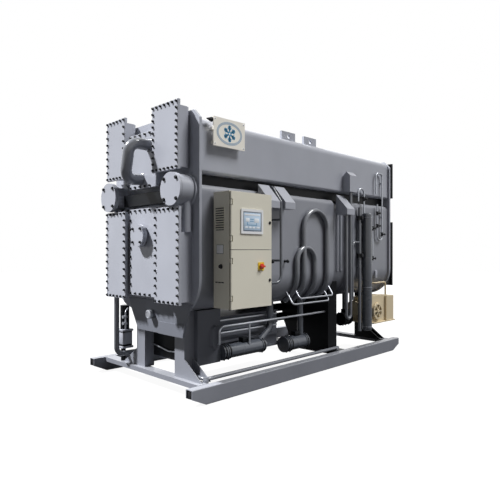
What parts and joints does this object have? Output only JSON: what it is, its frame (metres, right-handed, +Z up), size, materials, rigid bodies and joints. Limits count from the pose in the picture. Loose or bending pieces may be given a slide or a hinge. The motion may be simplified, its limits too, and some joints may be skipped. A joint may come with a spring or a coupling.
{
  "type": "absorption chiller",
  "caption": "Skid-mounted absorption chiller: two flat-sided shells, bolted water boxes with flanged nozzles, control cabinet with hinged doors, pumps and piping.",
  "frame": {"origin": "on the floor, under the middle of the machine's whole outline", "axes": "+X along the shells, away from the nozzle end; -Y is the cabinet side; +Z up"},
  "size_m": [4.422, 2.344, 3.081],
  "materials": {
    "painted_blue_grey": "satin paint",
    "painted_dark_grey": "satin paint",
    "painted_black": "semi-matte paint",
    "painted_beige": "fine textured paint",
    "sign_panel": "satin paint",
    "screen_bezel": "gloss",
    "yellow_plastic": "gloss",
    "red_plastic": "gloss",
    "painted_cream": "satin paint",
    "bright_pipe": "drawn"
  },
  "bodies": {
    "chiller": {"balance_tubes": "bright_pipe", "bracket_covers": "painted_blue_grey", "cabinet_body": "painted_beige", "cabinet_rails": "painted_beige", "conduit": "painted_black", "covers_lower": "painted_blue_grey", "covers_upper": "painted_blue_grey", "cross_beams": "painted_blue_grey", "drain_pipe": "painted_blue_grey", "end_box_lower": "painted_black", "end_box_upper": "painted_black", "far_pump": "painted_black", "heat_exchanger": "painted_dark_grey", "junction_box": "painted_blue_grey", "legs_left": "painted_blue_grey", "legs_right": "painted_black", "lifting_lugs": "painted_blue_grey", "loop_pipes": "painted_blue_grey", "lower_shell": "painted_blue_grey", "middle_support": "painted_black", "nozzle_centre": "painted_blue_grey", "nozzle_far": "painted_blue_grey", "nozzle_header": "painted_black", "nozzle_near": "painted_blue_grey", "purge_pump": "painted_black", "purge_vessel": "painted_blue_grey", "refrigerant_pump": "painted_blue_grey", "return_bend": "painted_blue_grey", "riser_pipes": "painted_blue_grey", "sample_tubes": "bright_pipe", "shell_neck": "painted_black", "sign_board": "sign_panel", "skid_beam_far": "painted_blue_grey", "skid_beam_near": "painted_blue_grey", "skid_pipe": "bright_pipe", "solution_pump": "painted_blue_grey", "suction_pipes": "painted_blue_grey", "sump_box": "painted_dark_grey", "tube_sheet_left": "painted_blue_grey", "tube_sheet_right": "painted_blue_grey", "upper_shell": "painted_blue_grey", "vacuum_motor": "painted_cream", "vacuum_pump": "painted_cream", "water_boxes_lower": "painted_blue_grey", "water_boxes_upper": "painted_blue_grey"},
    "upper_door": {"cabinet_door_upper": "painted_beige", "touch_panel": "screen_bezel"},
    "lower_door": {"cabinet_door_lower": "painted_beige", "switch_plate": "yellow_plastic"},
    "isolator_handle": {"switch_handle": "red_plastic"},
    "pump_wheel": {"belt_wheel": "painted_cream"}
  },
  "joints": [
    {"name": "upper_door_hinge", "type": "hinge", "parent": "chiller", "child": "upper_door", "pos_m": [-1.564, -1.118, 1.864], "axis": [0, 0, -1], "range_deg": [0, 110]},
    {"name": "lower_door_hinge", "type": "hinge", "parent": "chiller", "child": "lower_door", "pos_m": [-1.564, -1.118, 1.26], "axis": [0, 0, -1], "range_deg": [0, 110]},
    {"name": "isolator_turn", "type": "hinge", "parent": "lower_door", "child": "isolator_handle", "pos_m": [-1.143, -1.129, 1.388], "axis": [0, 1, 0], "range_deg": [0, 90]},
    {"name": "pump_wheel_spin", "type": "hinge", "parent": "chiller", "child": "pump_wheel", "pos_m": [1.518, -0.961, 0.661], "axis": [0, -1, 0], "continuous": true}
  ]
}
